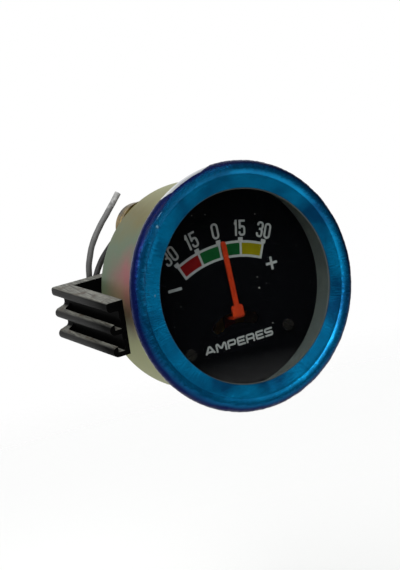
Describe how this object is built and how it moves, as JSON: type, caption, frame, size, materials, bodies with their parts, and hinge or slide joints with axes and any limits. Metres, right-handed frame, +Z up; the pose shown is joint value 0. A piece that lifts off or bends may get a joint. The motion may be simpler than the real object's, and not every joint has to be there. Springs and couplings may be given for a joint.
{
  "type": "analog panel meter",
  "caption": "Round centre-zero ammeter for a panel hole, with a pressed bezel, a drawn steel can, rear terminal studs, a lamp holder and a slack U-shaped clamp.",
  "frame": {"origin": "on the can's axis, in the plane where the back of the bezel seats on the panel", "axes": "+Y back through the panel along the can's axis, +Z up over the dial, +X to the right of the reader"},
  "size_m": [0.0718, 0.0469, 0.0592],
  "materials": {
    "chromed_steel": "polished chrome plate",
    "blue_film": "stretched peelable film",
    "clear_glass": "clear float glass",
    "black_rubber": "matte",
    "grey_card": "matte",
    "passivated_steel": "yellow passivated zinc plate",
    "black_enamel": "flat black enamel on aluminium sheet",
    "blackened_steel": "blackened",
    "white_ink": "matte print",
    "red_ink": "matte print",
    "green_ink": "matte print",
    "yellow_ink": "matte print",
    "brown_phenolic": "moulded",
    "brass": "plain stamped or turned",
    "magnet_iron": "sintered, ground faces",
    "fibre": "pressed fibre",
    "lamp_glass": "clear blown glass with brass cap",
    "grey_pvc": "soft extruded insulation",
    "orange_paint": "orange-red paint on aluminium sheet",
    "bright_steel": "ground",
    "zinc_steel": "zinc plate",
    "black_nylon": "moulded, scuffed"
  },
  "bodies": {
    "housing": {"bezel_ring": "chromed_steel", "bezel_film": "blue_film", "lens": "clear_glass", "lens_seal": "black_rubber", "spacer_ring": "grey_card", "can": "passivated_steel", "dial_plate": "black_enamel", "dial_screws": "blackened_steel", "scale_band": "white_ink", "red_zone": "red_ink", "green_zones": "green_ink", "yellow_zone": "yellow_ink", "chassis": "brown_phenolic", "pivot_bridge": "brass", "pivot_bushes": "brass", "magnet": "magnet_iron", "bus_bar": "brass", "terminal_studs": "brass", "stud_bushes": "fibre", "can_nuts": "brass", "lamp_holder": "brass", "lamp_insulator": "fibre", "lamp_bulb": "lamp_glass", "lamp_lead": "grey_pvc"},
    "movement": {"pointer": "orange_paint", "balance_weight": "brass", "pointer_staff": "bright_steel", "armature": "magnet_iron"},
    "clamp": {"clamp_bracket": "black_nylon", "clamp_washers": "zinc_steel", "clamp_nuts": "brass"}
  },
  "joints": [
    {"name": "pointer_swing", "type": "hinge", "parent": "housing", "child": "movement", "pos_m": [0, 0.0106, -0.01825], "axis": [0, 1, 0], "range_deg": [-26, 26], "stiffness_Nm_per_rad": 0.0001},
    {"name": "clamp_slide", "type": "slide", "parent": "housing", "child": "clamp", "axis": [0, 1, 0], "range_m": [0, 0.005]}
  ]
}
